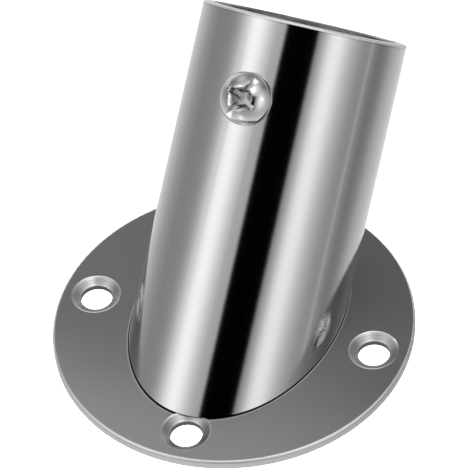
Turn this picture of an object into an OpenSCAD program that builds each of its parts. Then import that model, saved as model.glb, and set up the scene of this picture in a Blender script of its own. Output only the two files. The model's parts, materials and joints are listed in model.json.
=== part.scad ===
// Angled wall flange for a round shower rod.
// A round plate screws to the wall. A short tube stands on it at a slant, and the rod slides into
// the tube's mouth, where a locking screw in a tapped hole holds it.
// The origin is the centre of the plate's back face, and +Z points out of the wall.
// The middle screw hole is on -X, and the tube leans towards +X, turned a little about Z.

/* [Plate] */
// Thickness of the plate
plate_t = 1.5; // [1.2:0.1:4]
// Distance from the middle of a screw hole to the plate's edge
hole_margin = 4.9; // [4.2:0.1:12]
// Radius of the rounded front edge of the plate
plate_edge = 0.4; // [0.1:0.05:0.6]
// Break on the back edge of the plate
plate_back_edge = 0.15; // [0.05:0.05:0.3]

/* [Screw holes] */
// Gap between the tube's foot and the edge of the middle screw hole, at the plate's front
heel_gap = 0.044; // [0:0.001:3]
// Least width of plate between the tube's opening and the middle screw hole, at the back
heel_land = 0.8; // [0.4:0.1:3]
// Angle between neighbouring screw holes
hole_step = 90; // [75:5:110]
// Diameter of a screw hole
hole_d = 4.5; // [3:0.1:5]
// Diameter of a countersink's cone, inside its lip
sink_d = 6.6; // [5.5:0.1:7]
// Depth of the cone of a countersink
sink_depth = 0.75; // [0.3:0.05:1]
// Width of the flat lip around a countersink
sink_lip = 0.22; // [0.05:0.01:0.3]
// Depth of that lip at the cone
sink_lip_depth = 0.08; // [0.02:0.01:0.15]

/* [Socket tube] */
// Bore of the tube, which takes the rod
bore_d = 25.6; // [16:0.1:40]
// Thickness of the tube's wall
tube_wall = 1.7; // [1.3:0.1:3]
// Angle between the tube and the plate's normal
lean = 45; // [30:1:50]
// Length along the tube's axis, from the plate's front face to the mouth
tube_len = 41.2; // [36:0.1:80]
// Distance of the tube's foot from the plate's centre, towards the lean
tube_shift = 2.35; // [0:0.05:3]
// Turn of the tube about the plate's normal
tube_turn = 4.3; // [0:0.1:10]
// Radius of the rounded outer edge of the tube's mouth
mouth_round = 0.3; // [0.1:0.05:0.6]
// Break on the inner edge of the tube's mouth
mouth_edge = 0.2; // [0.1:0.05:0.4]

/* [Joint at the plate] */
// Height of the fine groove around the tube's foot
seam_gap = 0.16; // [0.1:0.02:0.4]
// Depth of that groove into the tube's wall
seam_depth = 0.45; // [0.1:0.05:0.5]
// Width of the weld between the bore and the tube's wall
weld_w = 0.8; // [0.4:0.1:0.9]
// How far the weld reaches into the plate
weld_below = 0.4; // [0.2:0.1:0.8]
// How far the weld reaches up the tube
weld_above = 0.6; // [0.3:0.1:1.5]

/* [Locking screw] */
// Distance of the screw's axis from the tube's mouth, along the tube
screw_from_mouth = 11.5; // [8:0.1:16]
// Turn of the screw about the tube's axis, away from the heel
screw_turn = 4; // [0:0.5:20]
// Diameter of the screw's thread
thread_d = 3.5; // [2.5:0.1:5]
// Gap between the thread and its tapped hole, on the radius
thread_gap = 0.05; // [0.02:0.01:0.1]
// Gap between the screw's head and the tube, with the rod free
head_lift = 0.4; // [0.2:0.05:2]
// Distance of the screw's tip from the bore, with the rod free
tip_short = 0.1; // [0.05:0.05:0.5]
// Chamfer at the screw's tip
tip_edge = 0.3; // [0.1:0.05:0.6]
// Diameter of the screw's head
head_d = 7.3; // [6:0.1:9]
// Height of the head, with its dome
head_h = 2.6; // [2:0.1:3.5]
// Height of the head's straight side
head_side = 0.6; // [0.3:0.1:1]
// Turn of the slot about the screw's axis
slot_turn = 153; // [0:1:180]
// Width of the slot and of the cross wings
slot_w = 0.86; // [0.6:0.02:1.2]
// Depth of the slot from the top of the dome
slot_depth = 1.45; // [0.8:0.05:1.8]
// Length of the cross where its wings end in the dome
wing_len = 4.7; // [4.2:0.1:5.5]
// Width of the sloped end of a wing
wing_end = 0.3; // [0.1:0.05:0.4]
// Depth of the cross recess from the top of the dome
cross_depth = 1.9; // [1.4:0.1:2]
// Diameter of the recess's lead-in cone where it meets the dome
lead_d = 3.7; // [3.2:0.1:4]
// Slope of the lead-in cone and of the wings' ends
lead_slope = 38; // [30:1:45]
// Width of the recess's square core, under the lead-in cone
core_w = 2.8; // [2.2:0.1:3]
// Width of the core at its bottom
core_tip_w = 1.6; // [1:0.1:2]

/* [Hidden] */
$fn = 96;
eps = 0.01;

bore_r = bore_d / 2;
tube_r = bore_r + tube_wall;
weld_r = bore_r + weld_w;
hole_r = hole_d / 2;
sink_r = sink_d / 2;
thread_r = thread_d / 2;
tapped_r = thread_r + thread_gap;
head_r = head_d / 2;

// How far the tube's foot reaches towards the heel at the front, and its opening at the back
foot_heel = tube_r / cos(lean) - tube_shift;
opening_heel = bore_r / cos(lean) - tube_shift + plate_t * tan(lean);
// Radius of the circle that the screw holes lie on, so that the middle one clears both
hole_place = max(foot_heel + heel_gap, opening_heel + heel_land) + hole_r;
plate_r = hole_place + hole_margin;

// What the slanted foot of the tube reaches below the middle of its end, along the axis
foot_reach = tube_r * tan(lean) + plate_t / cos(lean) + 1;
// A size that is larger than the whole flange
span = 2 * (2 * plate_r + tube_len + foot_reach);
// The screw's shank, from the underside of the head to the tip
screw_seat = tube_r + head_lift;
screw_len = screw_seat - bore_r - tip_short;
// The ball that the head's dome is cut from
dome_rise = head_h - head_side;
dome_r = (head_r * head_r + dome_rise * dome_rise) / (2 * dome_rise);

// Height of the dome over the head's underside, at a distance from its axis
function dome_at(r) = head_h - dome_r + sqrt(dome_r * dome_r - r * r);

// Puts its children on the tube's axis: z = 0 is the plate's front face, and x points to the toe
module on_tube() {
    rotate([0, 0, -tube_turn])
        translate([tube_shift, 0, plate_t])
            rotate([0, lean, 0])
                children();
}

// Puts its children on the screw's axis: z = 0 is the tube's axis, and z points out of the tube
module on_screw() {
    on_tube()
        translate([0, 0, tube_len - screw_from_mouth])
            rotate([0, 0, 180 - screw_turn])
                rotate([0, 90, 0])
                    children();
}

// A level slab from one height to another
module slab(low, high) {
    translate([-span / 2, -span / 2, low])
        cube([span, span, high - low]);
}

// A rod on the tube's axis, long enough to pass through the foot and the plate
module foot_rod(r) {
    on_tube()
        translate([0, 0, -foot_reach])
            cylinder(h = 2 * foot_reach, r = r);
}

// The room that the weld fills, between the bore and the walls of the plate and the tube
module weld_room() {
    intersection() {
        slab(plate_t - weld_below, plate_t + weld_above);
        foot_rod(weld_r);
    }
}

// Section of the plate, with its rounded front edge and broken back edge
module plate_section() {
    difference() {
        union() {
            square([plate_r - plate_edge, plate_t]);
            square([plate_r, plate_t - plate_edge]);
            translate([plate_r - plate_edge, plate_t - plate_edge])
                circle(r = plate_edge);
        }
        polygon([
            [plate_r - plate_back_edge, -eps],
            [plate_r + eps, -eps],
            [plate_r + eps, plate_back_edge + eps]
        ]);
    }
}

// What one countersunk screw hole takes out of the plate
module screw_hole() {
    rotate_extrude()
        polygon([
            [0, -1],
            [hole_r, -1],
            [hole_r, plate_t - sink_depth],
            [sink_r, plate_t - sink_lip_depth],
            [sink_r + sink_lip, plate_t],
            [sink_r + sink_lip, plate_t + 1],
            [0, plate_t + 1]
        ]);
}

// The wall plate, with the opening that continues the tube's bore
module base_plate() {
    color([0.50, 0.50, 0.51])
        difference() {
            rotate_extrude() plate_section();
            foot_rod(bore_r);
            weld_room();
            for (turn = [-hole_step, 0, hole_step])
                rotate([0, 0, 180 + turn])
                    translate([hole_place, 0, 0])
                        screw_hole();
        }
}

// Section of the tube before its foot is cut, with the mouth rounded outside and broken inside
module tube_section() {
    difference() {
        union() {
            translate([bore_r, -foot_reach]) {
                square([tube_wall - mouth_round, foot_reach + tube_len]);
                square([tube_wall, foot_reach + tube_len - mouth_round]);
            }
            translate([tube_r - mouth_round, tube_len - mouth_round])
                circle(r = mouth_round);
        }
        polygon([
            [bore_r - eps, tube_len - mouth_edge - eps],
            [bore_r + mouth_edge + eps, tube_len + eps],
            [bore_r - eps, tube_len + eps]
        ]);
    }
}

// The slanted tube, cut off level at the plate and square at the mouth
module socket_tube() {
    color([0.78, 0.78, 0.79])
        difference() {
            on_tube() rotate_extrude() tube_section();
            slab(-span / 2, plate_t);
            difference() {
                slab(plate_t - eps, plate_t + seam_gap);
                foot_rod(tube_r - seam_depth);
            }
            weld_room();
            on_screw() cylinder(h = tube_r + 1, r = tapped_r);
        }
}

// The weld inside the foot, flush with the bore
module weld_seam() {
    color([0.55, 0.54, 0.53])
        difference() {
            weld_room();
            foot_rod(bore_r);
        }
}

// A bar of the given width, centred on the screw's axis. Its outline is given for one half, in x and z.
module recess_bar(half, width) {
    other = [for (i = [len(half) - 1:-1:0]) [-half[i][0], half[i][1]]];
    rotate([90, 0, 0])
        linear_extrude(height = width, center = true)
            polygon(concat(half, other));
}

// What the driver recess takes out of the head: a slot right across, two wings, the core and its lead-in
module driver_recess() {
    above = head_h + 1;
    floor_z = head_h - cross_depth;
    wing = wing_len / 2;
    lead_tip = dome_at(lead_d / 2) - lead_d / 2 * tan(lead_slope);
    core_top = lead_tip + core_w / 2 * tan(lead_slope);
    core_above = core_tip_w + (core_w - core_tip_w) * (above - floor_z) / (core_top - floor_z);
    rotate([0, 0, slot_turn]) {
        recess_bar([[head_r + 1, head_h - slot_depth], [head_r + 1, above]], slot_w);
        rotate([0, 0, 90])
            recess_bar([
                [wing - 2 * wing_end, floor_z],
                [wing - wing_end, dome_at(wing) - wing_end * tan(lead_slope)],
                [wing + (above - dome_at(wing)) / tan(lead_slope), above]
            ], slot_w);
        translate([0, 0, core_top])
            cylinder(h = above - core_top, r1 = core_w / 2, r2 = (above - lead_tip) / tan(lead_slope));
        intersection_for (turn = [45, 135])
            rotate([0, 0, turn])
                recess_bar([[core_tip_w / 2, floor_z], [core_above / 2, above]], 2 * head_d);
    }
}

// Domed head, with its underside at z = 0
module screw_head() {
    difference() {
        intersection() {
            cylinder(h = head_h, r = head_r);
            translate([0, 0, head_h - dome_r]) sphere(r = dome_r);
        }
        driver_recess();
    }
}

// The locking screw, backed out just far enough to leave the bore clear
module lock_screw() {
    color([0.70, 0.70, 0.71])
        on_screw()
            translate([0, 0, screw_seat]) {
                screw_head();
                translate([0, 0, -screw_len + tip_edge])
                    cylinder(h = screw_len - tip_edge + eps, r = thread_r);
                translate([0, 0, -screw_len])
                    cylinder(h = tip_edge, r1 = thread_r - tip_edge, r2 = thread_r);
            }
}

base_plate();
socket_tube();
weld_seam();
lock_screw();
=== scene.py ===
"""Finishes a slanted shower rod flange and sets up a plain studio around it.

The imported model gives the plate, the tube, the weld and the locking screw at their real sizes. The plate
and the tube keep their shapes and get a steel finish. The weld and the locking screw get detailed pieces:
a bead with its ripples, and a screw with its thread and driver recess. Lengths are in metres, in the
model's own frame: the origin is the centre of the plate's back face, and +Z points out of the wall.
"""

import json
import math

import bmesh
import bpy
import numpy as np
from bpy.props import FloatProperty, FloatVectorProperty, IntProperty, PointerProperty
from mathutils import Matrix, Vector


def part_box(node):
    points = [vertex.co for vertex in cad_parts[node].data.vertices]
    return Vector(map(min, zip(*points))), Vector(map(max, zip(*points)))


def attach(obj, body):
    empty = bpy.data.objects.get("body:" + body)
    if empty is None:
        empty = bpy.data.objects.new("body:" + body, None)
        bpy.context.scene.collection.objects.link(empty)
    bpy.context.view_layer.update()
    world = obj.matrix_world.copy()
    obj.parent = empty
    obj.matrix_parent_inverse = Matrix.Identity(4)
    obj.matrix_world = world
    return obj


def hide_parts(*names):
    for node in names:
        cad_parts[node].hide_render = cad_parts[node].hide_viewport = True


bl_info = {
    "name": "Shower Rod Flange",
    "version": (1, 0, 0),
    "blender": (4, 5, 0),
    "location": "3D View > Sidebar > Flange",
    "description": "Finishes the steel parts of a slanted rod flange and sets up its studio",
    "category": "Object",
}

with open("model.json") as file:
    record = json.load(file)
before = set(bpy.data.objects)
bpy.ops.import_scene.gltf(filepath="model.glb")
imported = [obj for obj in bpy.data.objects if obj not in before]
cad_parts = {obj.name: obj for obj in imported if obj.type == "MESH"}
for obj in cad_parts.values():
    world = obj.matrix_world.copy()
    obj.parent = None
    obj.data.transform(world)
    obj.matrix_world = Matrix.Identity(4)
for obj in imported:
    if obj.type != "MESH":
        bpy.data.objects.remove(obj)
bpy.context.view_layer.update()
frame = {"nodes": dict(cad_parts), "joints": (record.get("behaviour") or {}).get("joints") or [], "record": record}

MM = 0.001

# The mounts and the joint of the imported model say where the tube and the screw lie
mounts = {mount["name"]: mount for mount in frame["record"]["mounts"]}
socket = mounts["rod_socket"]
BORE_RADIUS = socket["dims"]["r_mm"] * MM
TUBE_AXIS = Vector(socket["axis"]).normalized()
SCREW_AXIS = Vector(frame["joints"][0]["axis"]).normalized()
PLATE_RADIUS, _, PLATE_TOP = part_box("base_plate")[1]
mouth = Vector(socket["pos_m"])
# The point where the tube's axis meets the plate's front face
TUBE_FOOT = mouth - TUBE_AXIS * ((mouth.z - PLATE_TOP) / TUBE_AXIS.z)
TUBE_LENGTH = (mouth - TUBE_FOOT).length
TUBE_RADIUS = max(TUBE_AXIS.cross(vertex.co - TUBE_FOOT).length
                  for vertex in frame["nodes"]["socket_tube"].data.vertices)
HEEL_HOLE = Vector(mounts["heel_screw_hole"]["pos_m"])
SIDE_HOLE = mounts["side_screw_holes"]["dims"]["spacing_y_mm"] / 2 * MM
HOLE_CENTRES = ((HEEL_HOLE.x, 0.0), (0.0, SIDE_HOLE), (0.0, -SIDE_HOLE))
HOLE_RADIUS = mounts["side_screw_holes"]["dims"]["hole_r_mm"] * MM
# Where the cone of a countersink ends, and where the narrow ring round it ends, which is painted light as a
# painted highlight of the countersink's rim
SINK_RADIUS = 3.3 * MM
LIP_RADIUS = 3.52 * MM


def screw_place():
    """The screw's frame at rest: +Z is its axis, +X points to the tube's foot and z = 0 is its tip.

    It comes with the height of the head's underside and the head's radius.
    """
    z = SCREW_AXIS
    x = -TUBE_AXIS
    y = z.cross(x).normalized()
    turn = Matrix((x, y, z))
    points = [turn @ vertex.co for vertex in frame["nodes"]["lock_screw"].data.vertices]
    low = Vector(min(p[i] for p in points) for i in range(3))
    high = Vector(max(p[i] for p in points) for i in range(3))
    middle = turn.transposed() @ Vector(((low.x + high.x) / 2, (low.y + high.y) / 2, low.z))
    radius = (high.x - low.x) / 2
    centre = (low + high) / 2
    rim = [p.z for p in points if (p - centre).xy.length > radius - 0.01 * MM]
    place = turn.transposed().to_4x4()
    place.translation = middle
    return place, min(rim) - low.z, radius


SCREW_PLACE, SCREW_SEAT, HEAD_RADIUS = screw_place()


class FlangeFinish(bpy.types.PropertyGroup):
    """Colours and roughness of the flange's steel"""

    plate_color: FloatVectorProperty(
        name="Plate", description="Colour of the plate's satin steel",
        default=(0.48, 0.48, 0.488), min=0, max=1, size=3, subtype="COLOR")
    plate_roughness: FloatProperty(
        name="Plate Roughness", description="Roughness of the plate's satin face",
        default=0.3, min=0, max=1, subtype="FACTOR")
    # The edges' colour is near white: burnished steel, painted light to stand as painted highlights on the plate's
    # edge, the countersinks' rims, the tube's mouth and the screw's recess
    edge_color: FloatVectorProperty(
        name="Edges", description="Colour of the burnished edges of the plate and of the tube's mouth",
        default=(0.98, 0.98, 0.985), min=0, max=1, size=3, subtype="COLOR")
    edge_roughness: FloatProperty(
        name="Edge Roughness", description="Roughness of the burnished edges",
        default=0.5, min=0, max=1, subtype="FACTOR")
    tube_color: FloatVectorProperty(
        name="Tube", description="Colour of the tube's polished steel",
        default=(0.70, 0.70, 0.705), min=0, max=1, size=3, subtype="COLOR")
    tube_roughness: FloatProperty(
        name="Tube Roughness", description="Roughness of the tube's polished outside",
        default=0.085, min=0, max=1, subtype="FACTOR")
    brush_depth: FloatProperty(
        name="Brush Depth", description="Depth of the fine marks round the tube",
        default=8e-6, min=0, unit="LENGTH", precision=6)
    inside_color: FloatVectorProperty(
        name="Inside", description="Colour of the tube's unpolished inside",
        default=(0.42, 0.42, 0.43), min=0, max=1, size=3, subtype="COLOR")
    inside_roughness: FloatProperty(
        name="Inside Roughness", description="Roughness of the tube's inside",
        default=0.36, min=0, max=1, subtype="FACTOR")
    screw_color: FloatVectorProperty(
        name="Screw", description="Colour of the locking screw",
        default=(0.74, 0.74, 0.75), min=0, max=1, size=3, subtype="COLOR")
    screw_roughness: FloatProperty(
        name="Screw Roughness", description="Roughness of the locking screw",
        default=0.13, min=0, max=1, subtype="FACTOR")
    weld_color: FloatVectorProperty(
        name="Weld", description="Colour of the weld metal",
        default=(0.47, 0.45, 0.42), min=0, max=1, size=3, subtype="COLOR")
    weld_roughness: FloatProperty(
        name="Weld Roughness", description="Roughness of the weld metal",
        default=0.38, min=0, max=1, subtype="FACTOR")


class FlangeScrew(bpy.types.PropertyGroup):
    """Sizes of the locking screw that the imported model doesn't tell by itself"""

    head_height: FloatProperty(
        name="Head Height", description="Height of the head with its dome",
        default=2.6 * MM, min=0, unit="LENGTH", precision=5)
    head_side: FloatProperty(
        name="Head Side", description="Height of the head's straight side",
        default=0.6 * MM, min=0, unit="LENGTH", precision=5)
    rim_round: FloatProperty(
        name="Rim Radius", description="Radius between the dome and the side",
        default=0.16 * MM, min=0, unit="LENGTH", precision=5)
    thread_radius: FloatProperty(
        name="Thread Radius", description="Radius over the thread's crests",
        default=1.75 * MM, min=0, unit="LENGTH", precision=5)
    thread_pitch: FloatProperty(
        name="Thread Pitch", description="Distance from one crest to the next",
        default=0.6 * MM, min=0.1 * MM, unit="LENGTH", precision=5)
    thread_depth: FloatProperty(
        name="Thread Depth", description="Depth of the thread below its crests",
        default=0.34 * MM, min=0, unit="LENGTH", precision=5)
    tip_edge: FloatProperty(
        name="Tip Chamfer", description="Chamfer at the screw's tip",
        default=0.3 * MM, min=0, unit="LENGTH", precision=5)
    slot_turn: FloatProperty(
        name="Slot Turn", description="Turn of the slot about the screw's axis",
        default=math.radians(153), unit="ROTATION")
    slot_width: FloatProperty(
        name="Slot Width", description="Width of the slot and of the cross wings",
        default=0.86 * MM, min=0, unit="LENGTH", precision=5)
    slot_depth: FloatProperty(
        name="Slot Depth", description="Depth of the slot from the top of the dome",
        default=1.45 * MM, min=0, unit="LENGTH", precision=5)
    wing_length: FloatProperty(
        name="Wing Length", description="Length of the cross where its wings end in the dome",
        default=4.7 * MM, min=0, unit="LENGTH", precision=5)
    wing_end: FloatProperty(
        name="Wing End", description="Width of the sloped end of a wing",
        default=0.3 * MM, min=0, unit="LENGTH", precision=5)
    cross_depth: FloatProperty(
        name="Cross Depth", description="Depth of the cross from the top of the dome",
        default=1.9 * MM, min=0, unit="LENGTH", precision=5)
    lead_radius: FloatProperty(
        name="Lead-in Radius", description="Radius of the lead-in cone where it meets the dome",
        default=1.85 * MM, min=0, unit="LENGTH", precision=5)
    lead_slope: FloatProperty(
        name="Lead-in Slope", description="Slope of the lead-in cone and of the wings' ends",
        default=math.radians(38), unit="ROTATION")
    core_width: FloatProperty(
        name="Core Width", description="Width of the square core under the lead-in cone",
        default=2.8 * MM, min=0, unit="LENGTH", precision=5)
    core_tip: FloatProperty(
        name="Core Tip", description="Width of the core at its bottom",
        default=1.6 * MM, min=0, unit="LENGTH", precision=5)
    edge_break: FloatProperty(
        name="Edge Break", description="Width of the broken edges of the recess",
        default=0.05 * MM, min=0, unit="LENGTH", precision=5)


class FlangeWeld(bpy.types.PropertyGroup):
    """Sizes of the weld bead inside the tube's foot"""

    width: FloatProperty(
        name="Width", description="Width of the weld between the bore and the tube's wall",
        default=0.8 * MM, min=0, unit="LENGTH", precision=5)
    ripples: IntProperty(
        name="Ripples", description="Number of ripples round the bead", default=104, min=3)
    ripple_depth: FloatProperty(
        name="Ripple Depth", description="Depth of the valleys between the ripples",
        default=0.07 * MM, min=0, unit="LENGTH", precision=5)


class FlangeStudio(bpy.types.PropertyGroup):
    """The camera, the floor and the light over it"""

    azimuth: FloatProperty(
        name="Azimuth", description="Camera's place around the flange, 0 being on the -Y side",
        default=math.radians(-67.02), unit="ROTATION")
    elevation: FloatProperty(
        name="Elevation", description="Camera's height above the plate",
        default=math.radians(46.83), unit="ROTATION")
    roll: FloatProperty(
        name="Roll", description="Camera's turn about its line of sight",
        default=math.radians(-6.16), unit="ROTATION")
    distance: FloatProperty(
        name="Distance", description="Camera's distance from the plate",
        default=525.97 * MM, min=0, unit="LENGTH", precision=5)
    aim_right: FloatProperty(
        name="Aim Right", description="How far the camera stands to the right of the plate",
        default=0.225 * MM, unit="LENGTH", precision=5)
    aim_up: FloatProperty(
        name="Aim Up", description="How far the camera stands above the plate in the picture",
        default=12.095 * MM, unit="LENGTH", precision=5)
    lens: FloatProperty(
        name="Lens", description="Focal length for a sensor of 36 mm", default=288.92, min=1)
    floor_color: FloatVectorProperty(
        name="Floor", description="Colour of the floor",
        default=(0.9, 0.9, 0.9), min=0, max=1, size=3, subtype="COLOR")
    floor_radius: FloatProperty(
        name="Floor Radius", description="Radius of the round floor",
        default=1.5, min=0.1, unit="LENGTH")
    backdrop_color: FloatVectorProperty(
        name="Backdrop", description="Colour that the camera sees beyond the floor",
        default=(0.93, 0.93, 0.93), min=0, max=1, size=3, subtype="COLOR")
    # Painted shade: the dark sheets under the holes stand in for the floor in the plate's shadow, as the steel
    # mirrors it
    shade_sheet_color: FloatVectorProperty(
        name="Sheets", description="Colour of the grey sheets under the screw holes",
        default=(0.14, 0.14, 0.14), min=0, max=1, size=3, subtype="COLOR")
    lamp_power: FloatProperty(
        name="Lamp", description="Power of the soft lamp over the floor, in watts",
        default=14.0, min=0)
    lamp_size: FloatProperty(
        name="Lamp Size", description="Side of the square lamp over the floor",
        default=0.12, min=0, unit="LENGTH")


class Shader:
    """A node tree under construction, with short calls for the nodes that the finishes use"""

    def __init__(self, tree):
        self.tree = tree
        tree.nodes.clear()

    def node(self, kind, **values):
        """A new node with its own settings."""
        made = self.tree.nodes.new(kind)
        for name, value in values.items():
            setattr(made, name, value)
        return made

    def feed(self, socket, value):
        """Links a socket to another one, or sets its value."""
        if isinstance(value, bpy.types.NodeSocket):
            self.tree.links.new(value, socket)
        elif value is not None:
            socket.default_value = value

    def math(self, operation, a, b=None, c=None):
        made = self.node("ShaderNodeMath", operation=operation)
        for socket, value in zip(made.inputs, (a, b, c)):
            self.feed(socket, value)
        return made.outputs[0]

    def times(self, *factors):
        """The product of the factors, such as the place where several masks overlap."""
        product, *others = factors
        for factor in others:
            product = self.math("MULTIPLY", product, factor)
        return product

    def vector(self, operation, a, b=None, scale=None):
        made = self.node("ShaderNodeVectorMath", operation=operation)
        self.feed(made.inputs[0], a)
        self.feed(made.inputs[1], b)
        if scale is not None:
            self.feed(made.inputs["Scale"], scale)
        return made.outputs["Value" if operation in ("DOT_PRODUCT", "LENGTH") else "Vector"]

    def split(self, vector):
        """The X, Y and Z of a vector."""
        made = self.node("ShaderNodeSeparateXYZ")
        self.feed(made.inputs[0], vector)
        return tuple(made.outputs)

    def combine(self, x, y, z):
        made = self.node("ShaderNodeCombineXYZ")
        for socket, value in zip(made.inputs, (x, y, z)):
            self.feed(socket, value)
        return made.outputs[0]

    def step(self, value, low, high, to_low=0.0, to_high=1.0):
        """A smooth change from to_low to to_high while value goes from low to high."""
        made = self.node("ShaderNodeMapRange", interpolation_type="SMOOTHSTEP")
        for name, given in (("Value", value), ("From Min", low), ("From Max", high),
                            ("To Min", to_low), ("To Max", to_high)):
            self.feed(made.inputs[name], given)
        return made.outputs["Result"]

    def fade(self, value, low, high):
        """A smooth change from 1 to 0 while value goes from low to high."""
        return self.step(value, low, high, 1.0, 0.0)

    def noise(self, where, scale, detail=3.0, roughness=0.5):
        made = self.node("ShaderNodeTexNoise")
        self.feed(made.inputs["Vector"], where)
        self.feed(made.inputs["Scale"], scale)
        self.feed(made.inputs["Detail"], detail)
        self.feed(made.inputs["Roughness"], roughness)
        return made.outputs["Fac"]

    def mix(self, factor, a, b):
        """A colour between a and b."""
        made = self.node("ShaderNodeMix", data_type="RGBA")
        # The node has sockets of the same name for each type, and these are the ones for colours
        self.feed(made.inputs[0], factor)
        self.feed(made.inputs[6], a)
        self.feed(made.inputs[7], b)
        return made.outputs[2]

    def matt(self, color):
        made = self.node("ShaderNodeBsdfDiffuse")
        self.feed(made.inputs["Color"], color)
        return made.outputs[0]

    def cover(self, surface):
        """Shows a surface on the material."""
        output = self.node("ShaderNodeOutputMaterial")
        self.feed(output.inputs["Surface"], surface)

    def cover_steel(self, color, roughness, marks, depth):
        """Shows metal of a colour and a roughness, with its marks as deep as given."""
        steel = self.node("ShaderNodeBsdfPrincipled")
        self.feed(steel.inputs["Metallic"], 1.0)
        self.feed(steel.inputs["Base Color"], color)
        self.feed(steel.inputs["Roughness"], roughness)
        bump = self.node("ShaderNodeBump")
        self.feed(bump.inputs["Height"], marks)
        self.feed(bump.inputs["Distance"], depth)
        self.feed(steel.inputs["Normal"], bump.outputs["Normal"])
        self.cover(steel.outputs["BSDF"])


def rgba(color, factor=1.0):
    """A colour made brighter or darker by a factor, as the four values that a socket takes."""
    return (*(channel * factor for channel in color), 1.0)


def new_material(name):
    """A material with an empty tree, the short calls for its nodes and the place of each point."""
    material = bpy.data.materials.new(name)
    material.use_nodes = True
    shader = Shader(material.node_tree)
    return material, shader, shader.node("ShaderNodeTexCoord").outputs["Object"]


def dress(piece, material):
    """Gives a piece one material in place of all that it has."""
    piece.data.materials.clear()
    piece.data.materials.append(material)


def by_tube(shader, place):
    """How far up the tube's axis a point lies, as a length and as a vector, and how far out from it."""
    from_foot = shader.vector("SUBTRACT", place, tuple(TUBE_FOOT))
    along = shader.vector("DOT_PRODUCT", from_foot, tuple(TUBE_AXIS))
    on_axis = shader.vector("SCALE", tuple(TUBE_AXIS), scale=along)
    return along, on_axis, shader.vector("SUBTRACT", from_foot, on_axis)


def plate_steel(finish):
    """Satin steel with turned countersinks, burnished edges painted near white as a painted highlight, painted
    highlights round the countersinks, painted shade in the holes and in the groove at the tube's foot, and painted
    light across the top face.
    """
    material, shader, place = new_material("satin_plate_steel")
    x, y, z = shader.split(place)
    flat = shader.combine(x, y, 0.0)
    # Burnished edge: the plate's rounded edge is painted near white, as a painted highlight on burnished steel
    burnished = shader.times(
        shader.step(shader.vector("LENGTH", flat), PLATE_RADIUS - 0.3 * MM, PLATE_RADIUS - 0.26 * MM),
        shader.step(z, PLATE_TOP - 0.25 * MM, PLATE_TOP - 0.2 * MM))
    nearest = None
    for hole_x, hole_y in HOLE_CENTRES:
        away = shader.vector("LENGTH", shader.vector("SUBTRACT", flat, (hole_x, hole_y, 0.0)))
        nearest = away if nearest is None else shader.math("MINIMUM", nearest, away)
    in_sink = shader.fade(nearest, SINK_RADIUS - 0.08 * MM, SINK_RADIUS)
    # Painted shade: the walls of the holes under the countersinks are painted darker
    in_hole = shader.times(shader.fade(nearest, HOLE_RADIUS + 0.15 * MM, HOLE_RADIUS + 0.25 * MM),
                           shader.fade(z, PLATE_TOP - 0.8 * MM, PLATE_TOP - 0.72 * MM))
    # Painted highlight: a narrow ring round each countersink on the top face is painted light
    lip = shader.times(shader.step(nearest, SINK_RADIUS + 0.01 * MM, SINK_RADIUS + 0.05 * MM),
                       shader.fade(nearest, LIP_RADIUS - 0.02 * MM, LIP_RADIUS + 0.02 * MM),
                       shader.fade(z, PLATE_TOP - 0.005 * MM, PLATE_TOP - 0.002 * MM))
    # Painted shade: the groove at the tube's foot is painted nearly black, and the plate is lighter in a thin ring
    # next to it
    from_axis = shader.vector("LENGTH", by_tube(shader, place)[2])
    at_top = shader.step(z, PLATE_TOP - 0.05 * MM, PLATE_TOP - 0.01 * MM)
    groove = shader.times(at_top, shader.fade(from_axis, TUBE_RADIUS + 0.04 * MM, TUBE_RADIUS + 0.11 * MM))
    light_ring = shader.times(at_top,
                          shader.step(from_axis, TUBE_RADIUS + 0.08 * MM, TUBE_RADIUS + 0.13 * MM),
                          shader.fade(from_axis, TUBE_RADIUS + 0.16 * MM, TUBE_RADIUS + 0.34 * MM))
    # Turning marks: rings of uneven width round each countersink
    wobble = shader.noise(place, 500, 2.0)
    uneven = shader.math("MULTIPLY_ADD", wobble, 0.35 * MM, nearest)
    rings = shader.noise(shader.combine(uneven, 0.0, 0.0), 5200, 2.0, 0.6)
    grain = shader.noise(place, 9000, 2.0)
    marks = shader.math("MULTIPLY_ADD", grain, 0.08, shader.times(rings, in_sink))
    # Painted light: the top face is painted lighter at the heel than at the toe and lighter on the +Y side, as the
    # light falls on it; below the top face the steel is painted a tenth lighter
    along = shader.step(x, -25 * MM, -2 * MM, 1.36, 0.78)
    shade = shader.times(along, shader.math("MULTIPLY_ADD", y, 2.6, 0.91))
    shade = shader.step(z, PLATE_TOP - 0.1 * MM, PLATE_TOP - 0.05 * MM, 1.1, shade)
    cloud = shader.noise(place, 90, 3.0)
    satin = shader.mix(cloud, rgba(finish.plate_color, 0.97), rgba(finish.plate_color, 1.03))
    turned = shader.mix(shader.step(rings, 0.35, 0.65), rgba(finish.plate_color, 0.7),
                        rgba(finish.plate_color, 1.7))
    color = shader.vector("SCALE", satin, scale=shade)
    for mask, shown in (
        (in_sink, turned),
        (lip, rgba(finish.edge_color, 0.8)),
        (in_hole, rgba(finish.plate_color, 0.45)),
        (light_ring, rgba(finish.plate_color, 1.5)),
        (groove, rgba(finish.plate_color, 0.03)),
        (burnished, rgba(finish.edge_color)),
    ):
        color = shader.mix(mask, color, shown)
    rough = shader.step(cloud, 0.3, 0.7, finish.plate_roughness * 0.95, finish.plate_roughness * 1.05)
    rough = shader.times(rough, shader.step(in_sink, 0.0, 1.0, 1.0, 1.1))
    rough = shader.step(lip, 0.0, 1.0, rough, finish.plate_roughness * 0.5)
    rough = shader.step(burnished, 0.0, 1.0, rough, finish.edge_roughness)
    shader.cover_steel(color, rough, marks, 7e-6)
    return material


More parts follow.
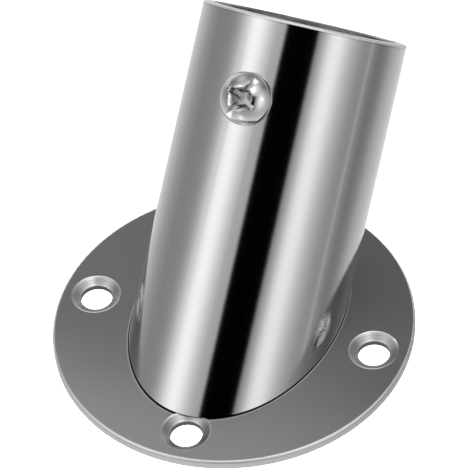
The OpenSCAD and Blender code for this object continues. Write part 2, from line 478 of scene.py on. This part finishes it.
def tube_steel(finish):
    """Polished steel with fine marks round the tube, and a duller drawn surface inside it."""
    material, shader, place = new_material("polished_tube_steel")
    along, on_axis, outward = by_tube(shader, place)
    radius = shader.vector("LENGTH", outward)
    inside = shader.fade(radius, BORE_RADIUS + 0.2 * MM, BORE_RADIUS + 0.5 * MM)
    # Round marks: the noise changes fast along the axis and slowly round it
    round_place = shader.vector("ADD", shader.vector("SCALE", outward, scale=0.03), on_axis)
    round_marks = shader.noise(round_place, 14000, 0.0)
    round_shades = shader.noise(round_place, 3300, 2.0)
    # Drawn marks: the noise changes slowly along the axis
    drawn_place = shader.vector("ADD", outward, shader.vector("SCALE", on_axis, scale=0.05))
    drawn_marks = shader.noise(drawn_place, 2200, 3.0)
    marks = shader.math("ADD", shader.times(round_marks, shader.math("SUBTRACT", 1.0, inside)),
                        shader.times(drawn_marks, inside, 1.5))
    outer = shader.mix(round_shades, rgba(finish.tube_color, 0.985), rgba(finish.tube_color, 1.015))
    blotches = shader.noise(place, 420, 4.0, 0.6)
    inner = shader.mix(shader.step(blotches, 0.35, 0.65), rgba(finish.inside_color, 0.75),
                       rgba(finish.inside_color, 1.2))
    # Painted shade: the tube's outside down in the groove at its foot is painted nearly black
    groove = shader.times(
        shader.fade(shader.split(place)[2], PLATE_TOP + 0.36 * MM, PLATE_TOP + 0.4 * MM),
        shader.fade(radius, TUBE_RADIUS - 0.06 * MM, TUBE_RADIUS - 0.02 * MM))
    # Painted highlight: the top of the mouth's rounding is burnished and painted near white, and the last third of
    # a millimetre of the outside below it is painted darker
    rim = shader.times(shader.step(along, TUBE_LENGTH - 0.14 * MM, TUBE_LENGTH - 0.1 * MM),
                       shader.step(radius, BORE_RADIUS + 0.25 * MM, BORE_RADIUS + 0.35 * MM))
    lower_mouth_band = shader.step(along, TUBE_LENGTH - 0.33 * MM, TUBE_LENGTH - 0.28 * MM)
    color = outer
    for mask, shown in (
        (lower_mouth_band, rgba(finish.tube_color, 0.8)),
        (inside, inner),
        (rim, rgba(finish.edge_color)),
        (groove, rgba(finish.tube_color, 0.03)),
    ):
        color = shader.mix(mask, color, shown)
    rough = shader.step(inside, 0.0, 1.0, finish.tube_roughness, finish.inside_roughness)
    rough = shader.step(rim, 0.0, 1.0, rough, finish.edge_roughness)
    shader.cover_steel(color, rough, marks, finish.brush_depth)
    return material


def weld_steel(finish):
    """Ground weld metal with lighter and darker patches."""
    material, shader, place = new_material("ground_weld_metal")
    cloud = shader.noise(place, 700, 4.0, 0.6)
    color = shader.mix(shader.step(cloud, 0.3, 0.7), rgba(finish.weld_color, 0.7),
                       rgba(finish.weld_color, 1.15))
    rough = shader.step(cloud, 0.3, 0.7, finish.weld_roughness * 1.15, finish.weld_roughness * 0.85)
    shader.cover_steel(color, rough, shader.noise(place, 6000, 2.0), 3e-6)
    return material


def dome_radius(sizes):
    """Radius of the ball that the head's dome is a cap of."""
    rise = sizes.head_height - sizes.head_side
    return (HEAD_RADIUS ** 2 + rise ** 2) / (2 * rise)


def screw_steel(finish, sizes):
    """Bright steel with a faint grain, painted highlights on the edges round the recess and painted shade deep in
    the recess.
    """
    material, shader, place = new_material("bright_screw_steel")
    ball = dome_radius(sizes)
    middle = SCREW_PLACE.translation + SCREW_AXIS * (SCREW_SEAT + sizes.head_height - ball)
    from_middle = shader.vector("SUBTRACT", place, tuple(middle))
    above_middle = shader.vector("DOT_PRODUCT", from_middle, tuple(SCREW_AXIS))
    above_seat = shader.math("ADD", above_middle, sizes.head_height - ball)
    under_dome = shader.math("SUBTRACT", ball, shader.vector("LENGTH", from_middle))
    in_head = shader.step(above_seat, 0.3 * MM, 0.4 * MM)
    # Painted highlight: the edges round the recess are painted near white
    edge = shader.times(in_head, shader.step(under_dome, 0.03 * MM, 0.06 * MM),
                        shader.fade(under_dome, 0.3 * MM, 0.5 * MM))
    # Painted shade: deep inside the recess the steel is painted darker
    deep = shader.times(in_head, shader.step(under_dome, 0.3 * MM, 0.75 * MM))
    cloud = shader.noise(place, 900, 3.0)
    color = shader.mix(cloud, rgba(finish.screw_color, 0.94), rgba(finish.screw_color, 1.06))
    color = shader.mix(edge, color, rgba(finish.edge_color))
    color = shader.mix(deep, color, rgba(finish.screw_color, 0.58))
    rough = shader.step(cloud, 0.3, 0.7, finish.screw_roughness * 0.85, finish.screw_roughness * 1.2)
    shader.cover_steel(color, rough, shader.noise(place, 9000, 2.0), 8e-7)
    return material


def add_piece(name, mesh):
    """A new object at the origin that shows a mesh."""
    piece = bpy.data.objects.new(name, mesh)
    bpy.context.scene.collection.objects.link(piece)
    return piece


def take_mesh(name, shape):
    """The mesh of a shape under construction, which is freed."""
    mesh = bpy.data.meshes.new(name)
    shape.to_mesh(mesh)
    shape.free()
    return mesh


def ring_mesh(name, rings, hollow=False):
    """A mesh from rings of points, each as long as the next, joined by quads.

    Its first and last rings are capped. In a hollow mesh they are joined with each other instead.
    """
    shape = bmesh.new()
    rows = [[shape.verts.new(point) for point in ring] for ring in rings]
    count = len(rings[0])
    for one, other in zip(rows, rows[1:] + rows[:1] if hollow else rows[1:]):
        for i in range(count):
            j = (i + 1) % count
            shape.faces.new((one[i], one[j], other[j], other[i]))
    if not hollow:
        shape.faces.new(reversed(rows[0]))
        shape.faces.new(rows[-1])
    bmesh.ops.recalc_face_normals(shape, faces=shape.faces)
    return take_mesh(name, shape)


def disc_mesh(name, radius, segments, centres):
    """Flat discs at z = 0, round the centres given."""
    shape = bmesh.new()
    for x, y in centres:
        bmesh.ops.create_circle(shape, cap_ends=True, segments=segments, radius=radius,
                                matrix=Matrix.Translation((x, y, 0)))
    return take_mesh(name, shape)


def smooth_by_angle(mesh, angle):
    """Shades a mesh smooth, with its edges above the angle kept sharp."""
    shape = bmesh.new()
    shape.from_mesh(mesh)
    for face in shape.faces:
        face.smooth = True
    for edge in shape.edges:
        edge.smooth = edge.calc_face_angle(math.pi) < angle
    shape.to_mesh(mesh)
    shape.free()


def applied(piece):
    """The piece's mesh with its modifiers in it."""
    seen = piece.evaluated_get(bpy.context.evaluated_depsgraph_get())
    mesh = bpy.data.meshes.new_from_object(seen)
    mesh.name = piece.name
    return mesh


def screw_outline(sizes):
    """Half outline of the screw in millimetres, as (radius, height) from the dome's top to the tip.

    The height is 0 under the head. The last value of each point says how much thread it carries.
    """
    head_r, head_h, ball = HEAD_RADIUS / MM, sizes.head_height / MM, dome_radius(sizes) / MM
    round_r = sizes.rim_round / MM
    shank = SCREW_SEAT / MM
    thread_r, tip = sizes.thread_radius / MM, sizes.tip_edge / MM
    # The rounding between the dome and the side touches both
    centre_r = head_r - round_r
    meet = math.asin(centre_r / (ball - round_r))
    centre_h = head_h - ball + (ball - round_r) * math.cos(meet)
    points = [(ball * math.sin(a), head_h - ball + ball * math.cos(a), 0.0)
              for a in np.linspace(0.002, meet, 40)]
    points += [(centre_r + round_r * math.sin(a), centre_h + round_r * math.cos(a), 0.0)
               for a in np.linspace(meet, math.pi / 2, 7)[1:]]
    # The head's broken lower edge, its flat underside and the rounding at the neck
    neck = 0.1
    points += [(head_r, 0.12, 0.0), (head_r - 0.04, 0.03, 0.0), (head_r - 0.12, 0.0, 0.0),
               (thread_r + 0.35, 0.0, 0.0), (thread_r + 0.12, 0.0, 0.0), (thread_r + 0.03, -0.03, 0.0),
               (thread_r, -neck, 0.0)]
    # The thread grows to its full depth over the first steps, and runs out over the tip's chamfer
    steps, first_steps, tip_steps = 64, 14, 8
    for i in range(1, steps + 1):
        height = -neck - (shank - neck - tip) * i / steps
        points.append((thread_r, height, min(1.0, i / first_steps)))
    for i in range(1, tip_steps + 1):
        cut = tip * i / tip_steps
        points.append((thread_r - cut, -shank + tip - cut, 1.0 - i / tip_steps))
    points.append((0.01, -shank, 0.0))
    return points


def screw_body(sizes):
    """The locking screw without its recess, in millimetres, with the thread as a helix."""
    columns = 128
    pitch, depth = sizes.thread_pitch / MM, sizes.thread_depth / MM
    rings = []
    for radius, height, share in screw_outline(sizes):
        ring = []
        for i in range(columns):
            angle = 2 * math.pi * i / columns
            phase = (height / pitch - i / columns) % 1.0
            # A crest and a root that are an eighth of the pitch wide, with straight flanks between
            flank = min(max((abs(phase - 0.5) * 2 - 0.125) / 0.75, 0.0), 1.0)
            reach = radius - share * depth * flank
            ring.append((reach * math.cos(angle), reach * math.sin(angle), height))
        rings.append(ring)
    return ring_mesh("screw_body", rings)


def prism(name, outline, width):
    """A straight bar in millimetres: an outline in X and Z, as wide in Y as given."""
    shape = bmesh.new()
    sides = [[shape.verts.new((x, y, z)) for x, z in outline] for y in (-width / 2, width / 2)]
    count = len(outline)
    for i in range(count):
        j = (i + 1) % count
        shape.faces.new((sides[0][i], sides[0][j], sides[1][j], sides[1][i]))
    shape.faces.new(reversed(sides[0]))
    shape.faces.new(sides[1])
    bmesh.ops.recalc_face_normals(shape, faces=shape.faces)
    return take_mesh(name, shape)


def recess_cutters(sizes):
    """What the driver recess takes out of the head, in millimetres: slot, wings, lead-in and core."""
    top = sizes.head_height / MM
    above = top + 1.0
    width = sizes.slot_width / MM
    slot_floor = top - sizes.slot_depth / MM
    cross_floor = top - sizes.cross_depth / MM
    half_slot = HEAD_RADIUS / MM + 0.5
    ball = dome_radius(sizes) / MM

    def dome_at(radius):
        return top - ball + math.sqrt(ball ** 2 - radius ** 2)

    slope = math.tan(sizes.lead_slope)
    slot = prism("slot", [(-half_slot, slot_floor), (half_slot, slot_floor),
                          (half_slot, above), (-half_slot, above)], width)
    wing, end = sizes.wing_length / MM / 2, sizes.wing_end / MM
    half = [(wing - 2 * end, cross_floor), (wing - end, dome_at(wing) - end * slope),
            (wing + (above - dome_at(wing)) / slope, above)]
    wings = prism("wings", half + [(-x, z) for x, z in reversed(half)], width * 0.99)
    # The lead-in cone ends on the square core, and the core's floor is a little hollow
    lead = sizes.lead_radius / MM
    lead_tip = dome_at(lead) - lead * slope
    core, core_tip = sizes.core_width / MM / 2, sizes.core_tip / MM / 2
    core_top = lead_tip + core * slope
    core_above = core_tip + (core - core_tip) * (above - cross_floor) / (core_top - cross_floor)
    cone = ring_mesh("cone", [
        [(radius * math.cos(2 * math.pi * i / 96), radius * math.sin(2 * math.pi * i / 96), height)
         for i in range(96)]
        for radius, height in ((core, core_top), ((above - lead_tip) / slope, above))])
    square = math.sqrt(2)
    core = ring_mesh("core", [
        [(radius * math.cos(math.pi / 2 * i), radius * math.sin(math.pi / 2 * i), height) for i in range(4)]
        for radius, height in ((0.05, cross_floor - 0.22), (core_tip * square, cross_floor),
                               (core_above * square, above))])
    quarter = Matrix.Rotation(math.pi / 2, 4, "Z")
    return [(slot, Matrix.Identity(4)), (wings, quarter), (cone, Matrix.Identity(4)),
            (core, Matrix.Identity(4))]


class FLANGE_OT_finish_plate(bpy.types.Operator):
    """Gives the wall plate its satin steel"""

    bl_idname = "flange.finish_plate"
    bl_label = "Finish Plate"

    def execute(self, context):
        dress(frame["nodes"]["base_plate"], plate_steel(context.scene.flange_finish))
        return {"FINISHED"}


class FLANGE_OT_finish_tube(bpy.types.Operator):
    """Gives the socket tube its polished steel"""

    bl_idname = "flange.finish_tube"
    bl_label = "Finish Tube"

    def execute(self, context):
        dress(frame["nodes"]["socket_tube"], tube_steel(context.scene.flange_finish))
        return {"FINISHED"}


class FLANGE_OT_make_weld(bpy.types.Operator):
    """Makes the rippled weld bead inside the tube's foot"""

    bl_idname = "flange.make_weld"
    bl_label = "Make Weld"

    def execute(self, context):
        sizes = context.scene.flange_weld
        low, high = (corner.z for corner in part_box("weld_seam"))
        side = TUBE_AXIS.cross(Vector((0, 0, 1))).normalized()
        front = side.cross(TUBE_AXIS)
        columns, levels = sizes.ripples * 8, 12

        def point(angle, radius, height):
            """A point at that radius from the tube's axis and that height above the wall."""
            out = (front * math.cos(angle) + side * math.sin(angle)) * radius
            return TUBE_FOOT + out + TUBE_AXIS * ((height - TUBE_FOOT.z - out.z) / TUBE_AXIS.z)

        angles = [2 * math.pi * i / columns for i in range(columns)]
        rings = []
        for k in range(levels + 1):
            share = k / levels
            height = low + (high - low) * share
            bow = 4 * share * (1 - share)
            ring = []
            for angle in angles:
                phase = (angle * sizes.ripples / (2 * math.pi) + 0.55 * bow) % 1.0
                valley = sizes.ripple_depth * bow * (1 - math.sin(math.pi * phase) ** 0.7)
                ring.append(point(angle, BORE_RADIUS + valley, height))
            rings.append(ring)
        outside = BORE_RADIUS + sizes.width
        rings.append([point(angle, outside, high) for angle in angles])
        rings.append([point(angle, outside, low) for angle in angles])
        mesh = ring_mesh("weld_bead", rings, hollow=True)
        smooth_by_angle(mesh, math.radians(40))
        bead = add_piece("weld_bead", mesh)
        dress(bead, weld_steel(context.scene.flange_finish))
        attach(bead, "flange")
        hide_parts("weld_seam")
        return {"FINISHED"}


class FLANGE_OT_make_screw(bpy.types.Operator):
    """Makes the locking screw with its thread and driver recess"""

    bl_idname = "flange.make_screw"
    bl_label = "Make Locking Screw"

    def execute(self, context):
        sizes = context.scene.flange_screw
        screw = add_piece("locking_screw", screw_body(sizes))
        turn = Matrix.Rotation(sizes.slot_turn, 4, "Z")
        cutters = []
        for mesh, own_turn in recess_cutters(sizes):
            cutter = add_piece(mesh.name, mesh)
            cutter.matrix_world = turn @ own_turn
            cutters.append(cutter)
            cut = screw.modifiers.new(mesh.name, "BOOLEAN")
            cut.operation = "DIFFERENCE"
            cut.solver = "EXACT"
            cut.object = cutter
        context.view_layer.update()
        mesh = applied(screw)
        screw.modifiers.clear()
        for cutter in cutters:
            bpy.data.objects.remove(cutter)
        screw.data = mesh
        if len(mesh.polygons) < 1000:
            raise RuntimeError("the driver recess couldn't be cut")
        broken = screw.modifiers.new("edge_break", "BEVEL")
        broken.width = sizes.edge_break / MM
        broken.segments = 2
        broken.limit_method = "ANGLE"
        broken.angle_limit = math.radians(28)
        context.view_layer.update()
        mesh = applied(screw)
        screw.modifiers.clear()
        # From millimetres under the head to metres on the tube
        seat = Matrix.Translation((0, 0, SCREW_SEAT))
        mesh.transform(SCREW_PLACE @ seat @ Matrix.Scale(MM, 4))
        smooth_by_angle(mesh, math.radians(32))
        screw.data = mesh
        dress(screw, screw_steel(context.scene.flange_finish, sizes))
        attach(screw, "screw")
        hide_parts("lock_screw")
        return {"FINISHED"}


def direction(azimuth, elevation):
    """A unit vector, from degrees round from +X and above the floor."""
    a, e = math.radians(azimuth), math.radians(elevation)
    return Vector((math.cos(a) * math.cos(e), math.sin(a) * math.cos(e), math.sin(e)))


def camera_axes(studio):
    """The directions that lie to the right, up and back from the camera."""
    a, e, r = studio.azimuth, studio.elevation, studio.roll
    back = Vector((math.sin(a) * math.cos(e), -math.cos(a) * math.cos(e), math.sin(e)))
    level = Vector((math.cos(a), math.sin(a), 0))
    upright = back.cross(level)
    right = level * math.cos(r) + upright * math.sin(r)
    up = upright * math.cos(r) - level * math.sin(r)
    return right, up, back


# Strip lamps lie along the tube. Each has its angle round the tube from the camera's side, its half
# width and half length in degrees, and its brightness. The last one is a dark flag.
STRIP_LAMPS = (
    (-52.0, 17.5, 34.0, 0.95),
    (39.0, 18.0, 30.0, 0.76),
    (64.0, 9.0, 60.0, 0.07),
    (0.0, 45.0, 60.0, 0.14),
    (84.0, 2.2, 40.0, 0.11),
    (95.0, 7.0, 60.0, -0.05),
)
# Round lamps have their azimuth and elevation, their half width and their brightness
ROUND_LAMPS = (
    (-125.0, 73.0, 6.0, 4.0),
    (-90.0, 78.0, 16.0, 0.7),
    (-90.0, 88.0, 34.0, 0.4),
    (47.0, 44.0, 12.0, 0.4),
    (163.0, -30.0, 9.0, 0.6),
    (-109.0, 29.0, 5.0, 0.9),
    (68.0, 6.0, 6.0, 0.5),
)
# Dark cards have their azimuth and elevation, their half width and the share of light that they take
DARK_CARDS = (
    (-72.0, -24.0, 15.0, 0.45),
    (-50.0, -42.0, 38.0, 0.26),
    (23.0, 50.0, 22.0, 0.5),
    (-21.0, 18.0, 16.0, 0.6),
    (67.0, 18.0, 16.0, 0.5),
    (-58.0, 41.0, 12.0, 0.8),
)


class FLANGE_OT_make_studio(bpy.types.Operator):
    """Makes the camera, the pale floor, the soft lamp over it and the studio that the steel mirrors"""

    bl_idname = "flange.make_studio"
    bl_label = "Make Studio"

    def execute(self, context):
        studio = context.scene.flange_studio
        self.make_camera(context, studio)
        self.make_floor(studio)
        self.make_shade_sheets(studio)
        self.make_lamp(context, studio)
        self.make_surroundings(context, studio)
        context.scene.view_settings.view_transform = "Standard"
        return {"FINISHED"}

    def make_camera(self, context, studio):
        right, up, back = camera_axes(studio)
        lens = bpy.data.cameras.new("camera")
        lens.lens = studio.lens
        lens.sensor_width = 36.0
        lens.clip_start, lens.clip_end = 0.01, 20.0
        camera = bpy.data.objects.new("camera", lens)
        context.scene.collection.objects.link(camera)
        place = Matrix((right, up, back)).transposed().to_4x4()
        place.translation = (Vector((0, 0, PLATE_TOP)) + right * studio.aim_right
                             + up * studio.aim_up + back * studio.distance)
        camera.matrix_world = place
        context.scene.camera = camera

    def make_floor(self, studio):
        """A round pale floor, which the steel doesn't mirror and which is clear from below."""
        floor = add_piece("floor", disc_mesh("floor", studio.floor_radius, 96, [(0, 0)]))
        floor.location.z = -0.05 * MM
        material, shader, place = new_material("pale_floor")
        cloud = shader.noise(place, 3.0, 2.0)
        either = shader.node("ShaderNodeMixShader")
        shader.feed(either.inputs[0], shader.node("ShaderNodeNewGeometry").outputs["Backfacing"])
        shader.feed(either.inputs[1], shader.matt(shader.mix(
            cloud, rgba(studio.floor_color, 0.995), rgba(studio.floor_color, 1.005))))
        shader.feed(either.inputs[2], shader.node("ShaderNodeBsdfTransparent").outputs[0])
        shader.cover(either.outputs[0])
        dress(floor, material)
        floor.visible_glossy = False

    def make_shade_sheets(self, studio):
        """Dark grey sheets under the plate's holes, which the steel mirrors and the camera doesn't see: painted
        shade that stands in for the floor in the plate's shadow.
        """
        shade_sheet = add_piece("shade_sheet", disc_mesh("shade_sheet", HOLE_RADIUS + 0.15 * MM, 48, HOLE_CENTRES))
        shade_sheet.location.z = -0.04 * MM
        material, shader, place = new_material("painted_shade_sheet")
        cloud = shader.noise(place, 60.0, 2.0)
        shader.cover(shader.matt(shader.mix(
            cloud, rgba(studio.shade_sheet_color, 0.86), rgba(studio.shade_sheet_color, 1.14))))
        dress(shade_sheet, material)
        shade_sheet.visible_camera = False
        shade_sheet.visible_shadow = False

    def make_lamp(self, context, studio):
        """A soft lamp 10 cm behind the camera, which lights the floor alone.

        It stands in the camera's line of sight, so the flange hides its own shadow.
        """
        lamp = bpy.data.lights.new("floor_lamp", "AREA")
        lamp.shape = "SQUARE"
        lamp.size = studio.lamp_size
        lamp.energy = studio.lamp_power
        holder = bpy.data.objects.new("floor_lamp", lamp)
        context.scene.collection.objects.link(holder)
        holder.location = camera_axes(studio)[2] * (studio.distance + 0.1)
        holder.rotation_euler = (-holder.location).to_track_quat("-Z", "Y").to_euler()
        holder.visible_glossy = False

    def make_surroundings(self, context, studio):
        """The studio that the steel mirrors: walls, a pale sweep, lamps, dark cards and a black screen."""
        world = bpy.data.worlds.new("studio")
        world.use_nodes = True
        context.scene.world = world
        shader = Shader(world.node_tree)
        look = shader.node("ShaderNodeTexCoord").outputs["Generated"]
        back = camera_axes(studio)[2]
        ahead = (back - TUBE_AXIS * back.dot(TUBE_AXIS)).normalized()
        aside = TUBE_AXIS.cross(ahead)
        to_back = shader.vector("DOT_PRODUCT", look, tuple(ahead))
        to_side = shader.vector("DOT_PRODUCT", look, tuple(aside))
        to_mouth = shader.vector("DOT_PRODUCT", look, tuple(TUBE_AXIS))
        degrees = 180 / math.pi
        # A ray's angle round the tube from the camera's side, and its angle towards the mouth
        turn = shader.times(shader.math("ARCTAN2", to_side, to_back), degrees)
        reach = shader.times(shader.math("ARCSINE", to_mouth), degrees)
        upward = shader.split(look)[2]
        down = shader.math("MAXIMUM", shader.times(upward, -1.0), 0.0)

        def bell(*terms):
            """A soft spot: 1 where every (value, width) is at 0, falling off over the widths."""
            total = None
            for value, width in terms:
                share = shader.math("DIVIDE", value, width)
                square = shader.times(share, share)
                total = square if total is None else shader.math("ADD", total, square)
            return shader.math("EXPONENT", shader.times(total, -1.0))

        def away(azimuth, elevation):
            """Degrees between where a ray looks and a direction."""
            near = shader.vector("DOT_PRODUCT", look, tuple(direction(azimuth, elevation)))
            return shader.times(shader.math("ARCCOSINE", near), degrees)

        # Walls and floor: grey at the horizon and lighter towards the floor
        light = shader.math("MULTIPLY_ADD", shader.times(down, down), 0.62,
                            shader.math("MULTIPLY_ADD", down, 0.35, 0.3))
        # The pale sweep that rises behind the flange
        behind = shader.step(shader.vector("DOT_PRODUCT", look, tuple(direction(14, 0))), 0.45, 0.85)
        sweep = shader.times(behind, bell((shader.math("SUBTRACT", upward, 0.08), 0.34)))
        light = shader.math("MULTIPLY_ADD", sweep, 0.62, light)
        for azimuth, elevation, width, share in DARK_CARDS:
            card = bell((away(azimuth, elevation), width))
            light = shader.times(light, shader.math("MULTIPLY_ADD", card, -share, 1.0))
        for azimuth, elevation, width, power in ROUND_LAMPS:
            light = shader.math("MULTIPLY_ADD", bell((away(azimuth, elevation), width)), power, light)
        for angle, width, length, power in STRIP_LAMPS:
            lamp = bell((shader.math("SUBTRACT", turn, angle), width), (reach, length))
            light = shader.math("MULTIPLY_ADD", lamp, power, light)
        # The black screen behind the camera: 0 where it stands, and 1 beyond its left, right and end edges
        open_left = shader.fade(turn, -21.0, -17.0)
        open_right = shader.math("ADD", shader.step(turn, 14.5, 19.5, 0.0, 0.55),
                                 shader.step(turn, 17.0, 34.0, 0.0, 0.45))
        open_ends = shader.math("MAXIMUM", shader.step(reach, 13.0, 19.0),
                                shader.fade(reach, -34.0, -28.0))
        screen = shader.math("MAXIMUM", shader.math("MAXIMUM", open_left, open_right), open_ends)
        light = shader.times(light, screen)
        # The camera itself sees a plain pale backdrop
        seen = shader.node("ShaderNodeLightPath").outputs["Is Camera Ray"]
        grey = shader.combine(light, light, light)
        background = shader.node("ShaderNodeBackground")
        shader.feed(background.inputs["Color"], shader.mix(seen, grey, rgba(studio.backdrop_color)))
        output = shader.node("ShaderNodeOutputWorld")
        shader.feed(output.inputs["Surface"], background.outputs[0])


class FLANGE_PT_maker(bpy.types.Panel):
    """Lists the steps that finish the flange, with their sizes and colours"""

    bl_label = "Shower Rod Flange"
    bl_idname = "FLANGE_PT_maker"
    bl_space_type = "VIEW_3D"
    bl_region_type = "UI"
    bl_category = "Flange"

    def draw(self, context):
        scene = context.scene
        for title, steps, settings in (
            ("Steel", (FLANGE_OT_finish_plate, FLANGE_OT_finish_tube), scene.flange_finish),
            ("Weld", (FLANGE_OT_make_weld,), scene.flange_weld),
            ("Locking Screw", (FLANGE_OT_make_screw,), scene.flange_screw),
            ("Studio", (FLANGE_OT_make_studio,), scene.flange_studio),
        ):
            box = self.layout.box()
            box.label(text=title)
            for name in settings.__annotations__:
                box.prop(settings, name)
            for step in steps:
                box.operator(step.bl_idname)


SETTINGS = {
    "flange_finish": FlangeFinish,
    "flange_screw": FlangeScrew,
    "flange_weld": FlangeWeld,
    "flange_studio": FlangeStudio,
}
OPERATORS = (
    FLANGE_OT_finish_plate,
    FLANGE_OT_finish_tube,
    FLANGE_OT_make_weld,
    FLANGE_OT_make_screw,
    FLANGE_OT_make_studio,
)


def register():
    for name, group in SETTINGS.items():
        bpy.utils.register_class(group)
        setattr(bpy.types.Scene, name, PointerProperty(type=group))
    for operator in OPERATORS:
        bpy.utils.register_class(operator)
    bpy.utils.register_class(FLANGE_PT_maker)


def unregister():
    bpy.utils.unregister_class(FLANGE_PT_maker)
    for operator in reversed(OPERATORS):
        bpy.utils.unregister_class(operator)
    for name, group in SETTINGS.items():
        delattr(bpy.types.Scene, name)
        bpy.utils.unregister_class(group)


def clear_startup():
    """Removes the objects that a new Blender file starts with."""
    for name in ("Cube", "Light", "Camera"):
        found = bpy.data.objects.get(name)
        if found is not None:
            bpy.data.objects.remove(found)


def main():
    clear_startup()
    register()
    bpy.ops.flange.finish_plate()
    bpy.ops.flange.finish_tube()
    bpy.ops.flange.make_weld()
    bpy.ops.flange.make_screw()
    bpy.ops.flange.make_studio()


if __name__ == "__main__":
    main()
